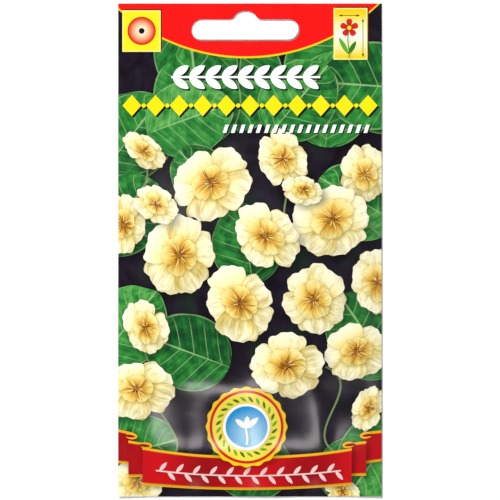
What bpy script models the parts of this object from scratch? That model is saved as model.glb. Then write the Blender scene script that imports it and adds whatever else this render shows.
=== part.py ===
"""Seed packet: a flat pillow bag of printed film with a hang slot, holding loose nasturtium seeds.

The packet lies on its back. X runs across it, Y runs up it towards the hang slot, and Z points
out of the printed front. The origin is under the middle of the packet, on the surface it lies on.
Lengths below are in millimetres and are turned into metres where points are made.
"""

import math
import random

import bpy

MM = 0.001

# Driving dimensions of the bag
WIDTH = 77.0
HEIGHT = 144.0
FILM = 0.25
PLY_GAP = 0.3
BOTTOM_SEAL = 13.0
HEADER_START = 47.0

# The bulge over the seeds
BULGE = 6.9
BULGE_RISE = 27.0
BULGE_FULL_TOP = -6.0
SIDE_POWER = 2.6
PUCKER = 0.45
PUCKER_PITCH = 17.5

# The lap seam down the back
SEAM_LEFT = -1.0
SEAM_RIGHT = 9.0
SEAM_RAMP = 4.5
SEAM_LIFT = 0.22

# The hang slot, a standard 32 mm shape
SLOT_X = -1.3
SLOT_Y = 64.2
SLOT_LENGTH = 31.6
SLOT_TALL = 6.3
SLOT_BUMP_BASE = 8.6
SLOT_BUMP_TOP = 2.8
SLOT_BUMP_TALL = 2.3

# The seeds
SEED_REST = 0.3
SEED_PLACES = (
    (-18.5, -38.5), (-6.5, -42.5), (6.5, -37.0), (18.0, -38.0),
    (-13.5, -27.0), (0.5, -28.0), (14.0, -25.5), (-4.0, -16.5),
)


def clear_scene():
    for obj in list(bpy.data.objects):
        bpy.data.objects.remove(obj, do_unlink=True)


def material(name, colour, roughness, metallic=0.0):
    made = bpy.data.materials.new(name)
    made.use_nodes = True
    shader = made.node_tree.nodes["Principled BSDF"]
    shader.inputs["Base Color"].default_value = (*colour, 1.0)
    shader.inputs["Roughness"].default_value = roughness
    shader.inputs["Metallic"].default_value = metallic
    return made


def smooth(low, high, value):
    """0 below low, 1 above high, with a soft start and end between them."""
    share = min(1.0, max(0.0, (value - low) / (high - low)))
    return share * share * (3.0 - 2.0 * share)


def seam_rise(x):
    """How far the back film is lifted where it crosses the folded seam."""
    up = min(1.0, max(0.0, (x - SEAM_LEFT + SEAM_RAMP) / SEAM_RAMP))
    down = min(1.0, max(0.0, (SEAM_RIGHT + SEAM_RAMP - x) / SEAM_RAMP))
    return SEAM_LIFT * min(up, down)


def bulge(x, y):
    """Height that the seeds and the trapped air give the front film."""
    across = 1.0 - min(1.0, abs(x) / (WIDTH / 2.0)) ** SIDE_POWER
    foot = -HEIGHT / 2.0 + BOTTOM_SEAL - 1.0
    rise = smooth(foot, foot + BULGE_RISE, y) ** 0.8
    fall = 1.0 - smooth(BULGE_FULL_TOP, HEADER_START, y)
    return BULGE * across * rise * fall


def puckers(x, y):
    """Small upright waves that start in the bottom seal and fade out above it."""
    fade = 1.0 - smooth(-HEIGHT / 2.0 + 16.0, -HEIGHT / 2.0 + 36.0, y)
    edge = 1.0 - smooth(0.86, 0.98, abs(x) / (WIDTH / 2.0))
    wave = 0.5 + 0.5 * math.sin(2.0 * math.pi * x / PUCKER_PITCH + 0.9)
    return PUCKER * fade * edge * wave * wave


def tents(x, y):
    """Soft rises where the film is held up by the seeds under it."""
    rise = 0.0
    for seed_x, seed_y in SEED_PLACES:
        away = math.hypot(x - seed_x, y - seed_y)
        rise = max(rise, 0.45 * math.exp(-((away / 5.5) ** 2)))
    return rise * min(1.0, bulge(x, y) / BULGE)


def front_under(x, y):
    """Height of the inner side of the front film."""
    return FILM + seam_rise(x) + PLY_GAP + bulge(x, y) + puckers(x, y) + tents(x, y)


def new_object(name, points, faces, finish):
    mesh = bpy.data.meshes.new(name)
    mesh.from_pydata([(x * MM, y * MM, z * MM) for x, y, z in points], [], faces)
    mesh.materials.append(finish)
    mesh.update()
    made = bpy.data.objects.new(name, mesh)
    bpy.context.scene.collection.objects.link(made)
    return made


def slab(name, columns, rows, under, over, finish):
    """A closed sheet over a grid, between two height functions of x and y."""
    wide, tall = len(columns), len(rows)
    points = [(x, y, under(x, y)) for y in rows for x in columns]
    points += [(x, y, over(x, y)) for y in rows for x in columns]
    top = wide * tall
    faces = []
    for j in range(tall - 1):
        for i in range(wide - 1):
            a = j * wide + i
            b, c, d = a + 1, a + wide + 1, a + wide
            faces.append((a, d, c, b))
            faces.append((top + a, top + b, top + c, top + d))
    for i in range(wide - 1):
        low, high = i, (tall - 1) * wide + i
        faces.append((low, low + 1, top + low + 1, top + low))
        faces.append((high, top + high, top + high + 1, high + 1))
    for j in range(tall - 1):
        left, right = j * wide, j * wide + wide - 1
        faces.append((left, top + left, top + left + wide, left + wide))
        faces.append((right, right + wide, top + right + wide, top + right))
    return new_object(name, points, faces, finish)


def slot_outline():
    """The hang slot seen from the front, as points going anticlockwise."""
    radius = SLOT_TALL / 2.0
    straight = SLOT_LENGTH / 2.0 - radius
    points = []
    for step in range(13):
        turn = -math.pi / 2.0 + math.pi * step / 12.0
        points.append((straight + radius * math.cos(turn), radius * math.sin(turn)))
    half_base, half_top = SLOT_BUMP_BASE / 2.0, SLOT_BUMP_TOP / 2.0
    for step in range(7):
        share = step / 6.0
        across = half_base + (half_top - half_base) * share
        points.append((across, radius + SLOT_BUMP_TALL * smooth(-0.15, 1.05, share)))
    for step in range(7):
        share = 1.0 - step / 6.0
        across = half_base + (half_top - half_base) * share
        points.append((-across, radius + SLOT_BUMP_TALL * smooth(-0.15, 1.05, share)))
    for step in range(13):
        turn = math.pi / 2.0 + math.pi * step / 12.0
        points.append((-straight + radius * math.cos(turn), radius * math.sin(turn)))
    return [(SLOT_X + x, SLOT_Y + y) for x, y in points]


def slot_cutter():
    outline = slot_outline()
    count = len(outline)
    points = [(x, y, -3.0) for x, y in outline] + [(x, y, 6.0) for x, y in outline]
    faces = [tuple(reversed(range(count))), tuple(range(count, 2 * count))]
    for i in range(count):
        after = (i + 1) % count
        faces.append((i, after, count + after, count + i))
    cutter = new_object("slot_cutter", points, faces, None)
    cutter.hide_render = True
    cutter.display_type = "WIRE"
    return cutter


def cut(target, cutter):
    modifier = target.modifiers.new("hang_slot", "BOOLEAN")
    modifier.operation = "DIFFERENCE"
    modifier.solver = "EXACT"
    modifier.object = cutter


def front_panel(finish):
    """The printed film. Its side edges turn down round the back film, as the bag's folds do."""
    half = WIDTH / 2.0
    lip = half - FILM
    inner = [-33.0 + 3.0 * i for i in range(23)]
    columns = [-half, -lip, -lip + 0.04, -37.2, -35.6] + inner + [35.6, 37.2, lip - 0.04, lip, half]
    seam = [SEAM_LEFT - SEAM_RAMP, SEAM_LEFT, SEAM_RIGHT + SEAM_RAMP]
    columns = sorted(set(columns + seam))
    rows = [-72.0, -68.0, -64.0, -60.0, -57.5, -55.0, -52.5]
    rows += [-50.0 + 3.0 * i for i in range(33)]
    rows += [50.0, 56.0, 60.0, 68.5, 72.0]
    return slab(
        "front_panel",
        columns,
        rows,
        lambda x, y: 0.0 if abs(x) > lip - 0.01 else front_under(x, y),
        lambda x, y: front_under(x, y) + FILM,
        finish,
    )


def back_panel(finish):
    """The plain film, with its lap seam folded flat down the middle of the outside."""
    half = WIDTH / 2.0 - FILM - PLY_GAP
    step = 0.06
    bottom = {
        -half: 0.0,
        SEAM_LEFT - SEAM_RAMP: 0.0,
        SEAM_LEFT - step: SEAM_LIFT,
        SEAM_LEFT: 0.0,
        SEAM_RIGHT: 0.0,
        SEAM_RIGHT + step: SEAM_LIFT,
        SEAM_RIGHT + SEAM_RAMP: 0.0,
        half: 0.0,
    }
    columns = sorted(bottom)
    rows = [-HEIGHT / 2.0, -24.0, 24.0, HEIGHT / 2.0]
    return slab(
        "back_panel",
        columns,
        rows,
        lambda x, y: bottom[x],
        lambda x, y: FILM + seam_rise(x),
        finish,
    )


def seed(index, x, y, finish):
    """One corky, ridged seed, a little flattened, resting just above the back film."""
    draw = random.Random(40 + index)
    across = draw.uniform(2.75, 3.2)
    deep = across * draw.uniform(0.9, 0.97)
    tall = draw.uniform(2.3, 2.55)
    turn = draw.uniform(0.0, math.pi)
    phase = draw.uniform(0.0, 2.0 * math.pi)
    around, rings = 20, 11
    points = [(0.0, 0.0, -tall)]
    for ring in range(1, rings):
        fall = -math.pi / 2.0 + math.pi * ring / rings
        for step in range(around):
            angle = 2.0 * math.pi * step / around
            ridge = 1.0 + 0.045 * math.cos(5.0 * angle + phase) * math.cos(fall)
            ridge += 0.03 * math.sin(9.0 * angle + 3.0 * fall + phase) * math.cos(fall)
            side = math.cos(fall) * ridge
            points.append((across * side * math.cos(angle), deep * side * math.sin(angle),
                           tall * math.sin(fall)))
    points.append((0.0, 0.0, tall))
    faces = []
    for step in range(around):
        after = (step + 1) % around
        faces.append((0, 1 + after, 1 + step))
        last = 1 + (rings - 2) * around
        faces.append((last + step, last + after, len(points) - 1))
        for ring in range(rings - 2):
            low = 1 + ring * around
            faces.append((low + step, low + after, low + around + after, low + around + step))
    lift = FILM + seam_rise(x) + SEED_REST + tall
    placed = []
    for px, py, pz in points:
        placed.append((
            x + px * math.cos(turn) - py * math.sin(turn),
            y + px * math.sin(turn) + py * math.cos(turn),
            lift + pz,
        ))
    return new_object(f"seed_{index}", placed, faces, finish)


def main():
    clear_scene()
    printed = material("printed_film", (0.20, 0.14, 0.05), 0.25)
    plain = material("plain_film", (0.80, 0.79, 0.76), 0.35)
    husk = material("seed_husk", (0.42, 0.31, 0.18), 0.8)
    cutter = slot_cutter()
    cut(front_panel(printed), cutter)
    cut(back_panel(plain), cutter)
    for index, (x, y) in enumerate(SEED_PLACES, start=1):
        seed(index, x, y, husk)


main()
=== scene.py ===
# %% [markdown]
# # A printed seed packet
#
# The object is a flat pillow bag of glossy printed film. It lies on its back, with its hang slot at
# the top of the picture and loose seeds inside. Everything that the eye meets on it is one long strip
# of film: the printed front, the two folds at the sides and the plain back.
#
# This lesson first draws the print flat, as a printer would, then cuts it into the mesh of the film,
# and lets Geometry Nodes raise the film over the seeds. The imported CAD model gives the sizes.

# %% Load the frame
import math
import random

import bpy
import numpy as np
from mathutils.geometry import delaunay_2d_cdt
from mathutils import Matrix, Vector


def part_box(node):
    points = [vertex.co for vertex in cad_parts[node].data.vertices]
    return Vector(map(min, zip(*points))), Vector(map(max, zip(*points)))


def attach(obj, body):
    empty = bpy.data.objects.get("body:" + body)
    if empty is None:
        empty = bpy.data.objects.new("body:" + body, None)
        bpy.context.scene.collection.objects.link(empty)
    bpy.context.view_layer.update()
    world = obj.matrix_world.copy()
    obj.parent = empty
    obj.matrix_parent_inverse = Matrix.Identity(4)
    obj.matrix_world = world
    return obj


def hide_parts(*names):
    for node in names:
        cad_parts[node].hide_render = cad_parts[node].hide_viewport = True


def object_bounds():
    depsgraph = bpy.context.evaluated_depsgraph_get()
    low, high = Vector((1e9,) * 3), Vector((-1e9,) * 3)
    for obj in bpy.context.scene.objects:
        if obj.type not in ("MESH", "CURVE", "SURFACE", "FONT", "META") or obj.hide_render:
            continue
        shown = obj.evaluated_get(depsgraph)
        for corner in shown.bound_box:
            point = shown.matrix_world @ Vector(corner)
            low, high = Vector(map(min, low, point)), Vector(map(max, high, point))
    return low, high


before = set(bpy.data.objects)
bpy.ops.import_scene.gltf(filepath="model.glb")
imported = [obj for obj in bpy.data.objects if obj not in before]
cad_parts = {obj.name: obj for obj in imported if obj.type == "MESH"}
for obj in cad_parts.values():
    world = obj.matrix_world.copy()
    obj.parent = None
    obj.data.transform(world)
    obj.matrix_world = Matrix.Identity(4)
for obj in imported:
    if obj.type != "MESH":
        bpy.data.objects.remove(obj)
box_low, box_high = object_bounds()
MM = 0.001
HALF_WIDE = box_high.x / MM
HALF_TALL = box_high.y / MM
SEEDS = sorted(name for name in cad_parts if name.startswith("seed_"))
print(f"packet {2 * HALF_WIDE:.1f} x {2 * HALF_TALL:.1f} mm, {len(SEEDS)} seeds")

# %% [markdown]
# ## Camera, floor and light
#
# The packet was pictured from straight above, with no visible perspective. A very long lens from far
# away gives that look and keeps the sides of the raised film from leaning outwards. The light is a
# big soft window at the upper left, so a thin shadow falls along the right and lower edges. A weak
# window at the lower right opens that shadow a little. A third stands low, below the foot of the
# packet. Only film that leans that way mirrors it, which draws the pale glare where the bag rises out
# of its bottom seal. The room is dim, because a bright one would lay a grey veil over the black parts
# of a glossy print.

# %% Camera
SENSOR = 36.0
CAMERA_HIGH = 1.5
PICTURE_WIDE = 0.1461


def placed(name, data, place=(0.0, 0.0, 0.0)):
    """A new object for the data, put into the scene."""
    made = bpy.data.objects.new(name, data)
    made.location = place
    bpy.context.scene.collection.objects.link(made)
    return made


camera_data = bpy.data.cameras.new("straight_down")
camera_data.sensor_width = SENSOR
camera_data.lens = SENSOR * CAMERA_HIGH / PICTURE_WIDE
camera_data.clip_start = 0.01
bpy.context.scene.camera = placed("straight_down", camera_data, (0.0, 0.0, CAMERA_HIGH))
print(f"lens {camera_data.lens:.0f} mm from {CAMERA_HIGH} m")


# %% Lamps
def window(name, place, wide, tall, power, colour=(1.0, 1.0, 1.0)):
    """A soft rectangular lamp that points at the packet."""
    data = bpy.data.lights.new(name, "AREA")
    data.shape = "RECTANGLE"
    data.size, data.size_y = wide, tall
    data.energy = power
    data.color = colour
    lamp = placed(name, data, place)
    lamp.rotation_euler = (-lamp.location).to_track_quat("-Z", "Y").to_euler()
    lamp.visible_camera = False
    print(f"{name} {power} W")


window("upper_left_window", (-0.8, 1.1, 1.55), 0.55, 0.55, 41.5)
window("lower_right_window", (1.2, -0.6, 1.1), 0.8, 0.8, 6.0)
window("foot_window", (-0.07, -0.56, 0.95), 0.6, 0.18, 2.8, (1.0, 0.93, 0.96))

# %% [markdown]
# The room is a world of one colour. It looks almost white to the camera and lights the packet dimly.
# From here on, `add` makes a node with its settings, and `wire` feeds its inputs.

# %% Nodes and the world
ROOM_SEEN, ROOM_LIGHT = 0.95, 0.12


def wire(node, inputs):
    """Feeds inputs, by name or number: sockets and nodes are linked, and a tuple is a colour."""
    for name, value in inputs.items():
        if isinstance(value, bpy.types.Node):
            value = value.outputs[0]
        if isinstance(value, bpy.types.NodeSocket):
            node.id_data.links.new(value, node.inputs[name])
        else:
            node.inputs[name].default_value = (*value, 1.0) if isinstance(value, tuple) else value


def add(tree, kind, inputs=None, **settings):
    """A new node of the kind, with its settings and its inputs."""
    node = tree.nodes.new(kind)
    for name, value in settings.items():
        setattr(node, name, value)
    wire(node, inputs or {})
    return node


world = bpy.data.worlds.new("pale_room")
world.use_nodes = True
room = world.node_tree
seen = add(room, "ShaderNodeLightPath").outputs["Is Camera Ray"]
strength = add(room, "ShaderNodeMapRange", {0: seen, "To Min": ROOM_LIGHT, "To Max": ROOM_SEEN})
wire(room.nodes["Background"], {"Color": (0.96, 0.98, 1.0), "Strength": strength})
bpy.context.scene.world = world
bpy.context.scene.view_settings.view_transform = "Standard"


# %% Floor
FLOOR_HALF = 1.6


def srgb(red, green, blue):
    """A colour as it is picked on screen, 0 to 255, turned into the light values that nodes use."""
    share = np.array([red, green, blue], float) / 255.0
    return tuple(np.where(share <= 0.04045, share / 12.92, ((share + 0.055) / 1.055) ** 2.4))


def new_material(name):
    """A material, its node tree and the Principled shader in it."""
    made = bpy.data.materials.new(name)
    made.use_nodes = True
    return made, made.node_tree, made.node_tree.nodes["Principled BSDF"]


corners = [(x * FLOOR_HALF, y * FLOOR_HALF, 0.0) for x, y in ((-1, -1), (1, -1), (1, 1), (-1, 1))]
floor_mesh = bpy.data.meshes.new("floor")
floor_mesh.from_pydata(corners, [], [(0, 1, 2, 3)])
floor = placed("floor", floor_mesh)
floor_paint, tree, shader = new_material("floor_paint")
wire(shader, {"Base Color": (0.98, 0.98, 0.98), "Roughness": 0.9})
floor_mesh.materials.append(floor_paint)

# %% [markdown]
# ## Laying the print flat
#
# A print is a stack of shapes, each one over the last. `lay` puts one closed outline on the stack.
# It says which finish the outline takes, its ink, and a ruler of its own: two numbers that run along
# and across a petal or a leaf, so that veins and shading can follow it. Shapes of one group belong to
# one pictured thing. `cast` says how soft, how far off and how strong a shadow it prints, first on its
# own group and then on all else below it.

# %% The stack
layers = []


def turned(points):
    """The outline with its points going anticlockwise, as the cutter needs."""
    x, y = points[:, 0], points[:, 1]
    area = np.sum(x * np.roll(y, -1) - np.roll(x, -1) * y)
    return points if area > 0 else points[::-1]


def lay(outline, ink=(1.0, 1.0, 1.0), finish="ink", ruler=None, tone=0.5, group=0, cast=None):
    """Puts one closed outline on the stack, over all that already lies there."""
    layers.append({
        "outline": turned(np.asarray(outline, float)), "finish": finish, "ink": ink,
        "ruler": ruler, "tone": tone, "group": group, "cast": cast,
    })


def closed_curve(points, spacing=0.6):
    """The straight-sided outline with points added along its sides."""
    points = np.asarray(points, float)
    made = []
    for start, end in zip(points, np.roll(points, -1, axis=0)):
        steps = max(1, int(np.hypot(*(end - start)) / spacing))
        for step in range(steps):
            made.append(start + (end - start) * step / steps)
    return np.array(made)


def ellipse(x, y, wide, tall=None, count=40, turn=0.0):
    angle = np.linspace(0.0, 2.0 * math.pi, count, endpoint=False)
    across, along = wide * np.cos(angle), (tall or wide) * np.sin(angle)
    return np.column_stack([
        x + across * math.cos(turn) - along * math.sin(turn),
        y + across * math.sin(turn) + along * math.cos(turn),
    ])


def block(left, right, low, high, spacing=0.8):
    return closed_curve([(left, low), (right, low), (right, high), (left, high)], spacing)


# %% [markdown]
# ### Blades: petals and leaves
#
# A petal and a leaf are both a blade: a line from its foot to its tip, with a width that changes
# along it. One helper draws either. The width rule makes the difference, and a little waviness
# that grows towards the tip ruffles the rim.


# %% A blade and its ruler
FULL_TURN = 6.28
RUFFLES = ((9.0, 0.6), (21.0, 0.4))


def petal_width(v):
    return 1.06 * np.clip(v, 0.0, 1.0) ** 0.62 * np.sqrt(np.clip(1.0 - v**5, 0.0, 1.0))


def leaf_width(v):
    v = np.clip(v, 0.0, 1.0)
    return 2.1 * v**0.5 * (1.0 - v) ** 0.58


def slim_width(v):
    v = np.clip(v, 0.0, 1.0)
    return 2.0 * v**0.8 * (1.0 - v) ** 0.8


def heading(angle):
    return np.array([math.cos(angle), math.sin(angle)])


def rotation(angle):
    return np.array([[math.cos(angle), -math.sin(angle)], [math.sin(angle), math.cos(angle)]])


def blade(foot, angle, length, half_width, width, draw, ruffle=0.0, squash=None, count=23, share=1.0):
    """Outline of a blade, and the ruler that measures any point across it and along it."""
    lean = rotation(angle)
    if squash is not None:
        lean = squash @ lean
    back = np.linalg.inv(lean)
    v = 0.5 - 0.5 * np.cos(np.linspace(0.0, math.pi, count))
    side = half_width * width(v)
    local = np.concatenate([
        np.column_stack([v * length, -side]),
        np.column_stack([v * length, side])[::-1][1:-1],
    ])
    turn = np.arctan2(local[:, 1], local[:, 0])
    wave = sum(part * np.sin(waves * turn + draw.uniform(0, FULL_TURN)) for waves, part in RUFFLES)
    to_tip = np.hypot(local[:, 0], local[:, 1]) / length
    local *= (1.0 + ruffle * wave * to_tip**2)[:, None]
    outline = local @ lean.T + foot

    def ruler(points):
        q = (points - foot) @ back.T
        along = q[:, 0] / length
        wide = np.maximum(half_width * width(np.clip(along, 0.02, 0.98)), 0.05 * half_width)
        return np.column_stack([q[:, 1] / wide, along * share])

    return outline, ruler


# %% [markdown]
# ### A blossom
#
# Each blossom is two rings of broad cream petals round an amber heart. It is drawn as seen a little
# from the side, so the whole rosette is squashed along one direction. Petals that face the light of
# the picture, at the upper left, are printed paler.


# %% A blossom
PETALS, STAMENS = 5, 15
LIGHT_FROM = 2.2
PLANT_CAST = ((2.6, 1.3, 0.62), (2.6, 1.3, 0.62))
PETAL_CAST = ((0.8, 0.3, 0.5), (2.6, 1.3, 0.62))
STAMEN_CAST = ((0.35, 0.15, 0.35), (0.35, 0.15, 0.35))
STAMEN_INKS = (srgb(250, 226, 140), srgb(232, 186, 84), srgb(150, 92, 24))


def blossom(x, y, radius, seed, open_share):
    draw = random.Random(seed)
    group = len(layers)
    foot = np.array([x, y])
    along = rotation(draw.uniform(0, math.pi))
    squash = along @ np.diag([1.0, open_share]) @ along.T
    start = draw.uniform(0, FULL_TURN)
    for ring, share in enumerate((1.0, draw.choice((0.5, 0.58)))):
        order = list(range(PETALS))
        draw.shuffle(order)
        for place in order:
            angle = start + 2.0 * math.pi * (place + 0.5 * ring) / PETALS + draw.uniform(-0.14, 0.14)
            length = radius * share * draw.uniform(0.9, 1.06)
            half_width = length * draw.uniform(0.62, 0.74)
            outline, ruler = blade(
                foot, angle, length, half_width, petal_width, draw, 0.05, squash, 27, share
            )
            lit = 0.52 + 0.26 * math.cos(angle - LIGHT_FROM) + draw.uniform(-0.2, 0.16)
            lay(outline, finish="petal", ruler=ruler, tone=lit, group=group, cast=PETAL_CAST)
    heart(foot, radius, draw, squash, group)


def heart(middle, radius, draw, squash, group):
    """The amber throat and its stamens."""
    ring = ellipse(0.0, 0.0, radius * 0.15, count=28)
    wave = 1.0 + 0.14 * np.sin(7.0 * np.arctan2(ring[:, 1], ring[:, 0]) + draw.uniform(0, FULL_TURN))
    lay(ring * wave[:, None] @ squash.T + middle, finish="heart", group=group)
    for number in range(STAMENS):
        angle = 2.4 * number + draw.uniform(-0.3, 0.3)
        far = radius * draw.uniform(0.12, 0.3)
        root = middle + squash @ heading(angle) * far * 0.35
        outline, _ = blade(root, angle, far, 0.2, slim_width, draw, count=9)
        lay(outline, draw.choice(STAMEN_INKS), group=group, cast=STAMEN_CAST)


# %% [markdown]
# ### The planted picture
#
# The ground of the picture is almost black. It is laid five times, each time a little narrower: it
# reaches past each side by as much film as a fold needs, and the further edges give the fold its
# bends. Broad green leaves come next, then thin stems, and the blossoms lie on top. Places are listed
# so that the eye finds a full bed of flowers in the middle and calmer leaves behind the bands.


# %% Leaves and stems
WRAP = 0.36
FOLD_LINES = (WRAP, 0.22, 0.08, -0.08, -0.25)
STEM_CAST = ((0.5, 0.3, 0.4), (0.8, 0.5, 0.4))
PALE_STEM = srgb(120, 142, 92)
LEAF_SEED, BLOSSOM_SEED = 200, 500


def leaf(x, y, angle, length, seed, tone):
    foot, draw = np.array([x, y]), random.Random(seed)
    outline, ruler = blade(
        foot, math.radians(angle), length, length * 0.43, leaf_width, draw, 0.02, count=31
    )
    lay(outline, finish="leaf", ruler=ruler, tone=tone, group=len(layers), cast=PLANT_CAST)


def stem(points, wide, ink):
    """A thin curved stalk through the given points."""
    points = np.asarray(points, float)
    at = np.linspace(0.0, 1.0, len(points))
    fine = np.linspace(0.0, 1.0, 12 + 5 * len(points))
    bend = np.polynomial.polynomial.polyfit(at, points, min(6, len(points) - 1))
    line = np.polynomial.polynomial.polyval(fine, bend).T
    ahead = np.gradient(line, axis=0)
    side = np.column_stack([-ahead[:, 1], ahead[:, 0]])
    side /= np.linalg.norm(side, axis=1)[:, None]
    outline = np.concatenate([line + side * wide / 2.0, (line - side * wide / 2.0)[::-1]])
    lay(outline, ink, group=len(layers), cast=STEM_CAST)


LEAVES = (
    (-47, 24, 38, 30, 0.35), (48, 38, 140, 28, 0.45), (-2, 64, -95, 30, 0.4),
    (-22, 68, -62, 28, 0.55), (30, 66, -120, 30, 0.6), (-14, 30, 96, 30, 0.5),
    (22, 30, 84, 28, 0.62), (-42, 24, 52, 26, 0.5), (50, 47, 176, 30, 0.45),
    (6, 34, 50, 26, 0.55), (-30, 34, 20, 26, 0.65), (-44, 0, 55, 26, 0.45),
    (43, 8, 150, 26, 0.6), (1, -10, 100, 24, 0.4), (-44, -32, 50, 26, 0.62),
    (42, -36, 125, 28, 0.5), (-6, -34, 160, 26, 0.4), (20, -62, -15, 24, 0.45),
    (44, -50, -125, 26, 0.6), (-46, -62, 15, 26, 0.5), (-8, 14, 130, 20, 0.45),
    (12, -64, 175, 24, 0.35),
)
STEMS = (
    ((-36, 30), (-30, 22), (-33, 12), (-30, 4)), ((8, 30), (12, 22), (10, 12), (14, 4)),
    ((-10, -46), (-6, -52), (-8, -58), (-3, -63)), ((22, -34), (26, -42), (22, -52), (27, -60)),
    ((38, 4), (30, 8), (24, 6), (20, 10)), ((-24, -36), (-28, -44), (-22, -54), (-26, -62)),
)
for line in FOLD_LINES:
    lay(block(-HALF_WIDE - line, HALF_WIDE + line, -HALF_TALL, HALF_TALL, 0.9), finish="ground")
for number, (x, y, angle, length, tone) in enumerate(LEAVES):
    leaf(x, y, angle, length, LEAF_SEED + number, tone)
for points in STEMS:
    stem(points, 0.55, PALE_STEM)
print(len(layers), "shapes so far")

# %% Blossoms
BLOSSOMS = (
    (-31.0, 29.0, 6.8, 0.62), (9.5, 26.5, 9.5, 0.75), (33.5, 22.0, 8.5, 0.8),
    (-11.5, 19.5, 11.5, 0.86), (-37.0, 7.5, 9.0, 0.8), (24.0, 9.0, 11.5, 0.86),
    (4.5, 4.0, 10.5, 0.8), (-20.5, -1.5, 11.5, 0.9), (37.0, -9.5, 9.5, 0.8),
    (-3.0, -15.5, 11.5, 0.86), (18.5, -14.5, 10.5, 0.9), (31.0, -29.5, 10.0, 0.8),
    (10.5, -33.5, 11.0, 0.86), (-33.0, -40.5, 10.5, 0.8), (34.5, -46.0, 7.0, 0.65),
    (-33.0, -67.5, 8.5, 0.8), (27.0, -70.5, 6.0, 0.7), (-27.5, 13.5, 7.0, 0.7),
    (15.5, 17.5, 6.0, 0.7), (-30.5, -22.5, 8.5, 0.75),
)
for number, (x, y, radius, open_share) in enumerate(BLOSSOMS):
    blossom(x, y, radius, BLOSSOM_SEED + number, open_share)
print(len(layers), "shapes with the blossoms")

# %% [markdown]
# ### The title bands
#
# Where the packet's title would be there are three bands of plain ornament: white laurel leaves, a
# yellow chain of lozenges, and a row of small slanted dashes. Each one has a black copy a little
# lower and to the right, which is how a printer keeps pale lettering clear of a busy picture.

# %% Ornament with a drop shadow
WHITE = srgb(255, 255, 255)
YELLOW = srgb(255, 232, 10)
BLACK = srgb(14, 12, 16)
LAUREL_Y, LAUREL_PITCH, LAUREL_STALK = 50.5, 4.75, (-23.0, 20.5, 50.2, 50.8)
LOZENGE_Y, LOZENGE_PITCH, LOZENGE_WIDE, LOZENGE_TALL = 42.2, 6.9, 2.75, 3.1
DASH_LOW, DASH_HIGH, DASH_PITCH = 34.2, 36.6, 2.42


def shadowed(outlines, ink, shift=0.5):
    for outline in outlines:
        lay(np.asarray(outline) + (shift, -shift), BLACK)
    for outline in outlines:
        lay(outline, ink)


plain = random.Random(3)
laurel = [block(*LAUREL_STALK)]
for place in range(9):
    x = -22.5 + LAUREL_PITCH * place
    for side in (1, -1):
        foot = np.array([x, LAUREL_Y + 0.25 * side])
        laurel.append(blade(foot, side * 0.6, 5.5, 1.75, slim_width, plain)[0])
shadowed(laurel, WHITE)
lozenges = []
for place in range(11):
    x = -34.5 + LOZENGE_PITCH * place
    lozenges.append(closed_curve([
        (x - LOZENGE_WIDE, LOZENGE_Y), (x, LOZENGE_Y - LOZENGE_TALL),
        (x + LOZENGE_WIDE, LOZENGE_Y), (x, LOZENGE_Y + LOZENGE_TALL),
    ]))
    if place < 10:
        lozenges.append(ellipse(x + 3.45, LOZENGE_Y, 0.62, count=16))
shadowed(lozenges, YELLOW)
dashes = []
for place in range(18):
    x = -7.5 + DASH_PITCH * place
    dashes.append(closed_curve([
        (x - 0.5, DASH_LOW), (x + 0.55, DASH_LOW), (x + 1.35, DASH_HIGH), (x + 0.3, DASH_HIGH),
    ], 0.5))
shadowed(dashes, WHITE, 0.32)
print(len(layers), "shapes with the title bands")

# %% [markdown]
# ### The header and its two pictograms
#
# The head of the packet is a red field, cut off below by a wide arc with a yellow rim. Two small
# panels stand on it: one for a sunny place, one with a plant and its measuring arrows.


# %% Header arc
ARC_RADIUS, ARC_LOW, ARC_LEFT = 56.0, 56.0, 1.2
ARC_INKS = ((0.0, srgb(252, 206, 14)), (0.56, srgb(246, 18, 16)))


def arc_line(x, lift=0.0):
    across = np.asarray(x, float) + ARC_LEFT
    return ARC_LOW + ARC_RADIUS - np.sqrt(ARC_RADIUS**2 - across**2) + lift


arc_x = np.linspace(-41.0, 41.0, 110)
for lift, ink in ARC_INKS:
    line = np.column_stack([arc_x, np.minimum(arc_line(arc_x, lift), 76.0)])
    lay(np.concatenate([line, [(41.0, 80.0), (-41.0, 80.0)]]), ink)


# %% Sun panel
SUN = np.array([-31.65, 64.0])
SUN_RADIUS, SUN_BANDS = 4.15, 9
SUN_STOPS = (
    (0.0, (255, 252, 236)), (0.35, (253, 230, 196)), (0.62, (247, 176, 132)),
    (0.84, (235, 102, 68)), (1.0, (214, 42, 28)),
)


def panel(left, right, low, high, ink):
    """A framed panel: its shadow, its pale frame and its own ink."""
    lay(block(left + 0.35, right + 0.4, low + 0.3, high + 0.35), srgb(96, 30, 12))
    lay(block(left, right, low, high), srgb(255, 246, 150))
    lay(block(left + 0.3, right - 0.3, low + 0.3, high - 0.3), ink)


def fade(points, centre, radius, stops):
    """Ink that changes with the distance from a centre, through the given stops."""
    share = np.clip(np.hypot(*(points - centre).T) / radius, 0.0, 1.0)
    inks = np.array([srgb(*ink) for _, ink in stops])
    return np.column_stack([np.interp(share, [at for at, _ in stops], ink) for ink in inks.T])


panel(-37.3, -26.1, 57.9, 70.0, srgb(255, 236, 28))
for number in range(SUN_BANDS, 0, -1):
    radius = SUN_RADIUS * number / SUN_BANDS
    band = fade(SUN + np.array([[radius, 0.0]]), SUN, SUN_RADIUS, SUN_STOPS)[0]
    lay(ellipse(*SUN, radius, count=44), tuple(band))
lay(ellipse(*SUN, 0.85, count=20), BLACK)

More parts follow.
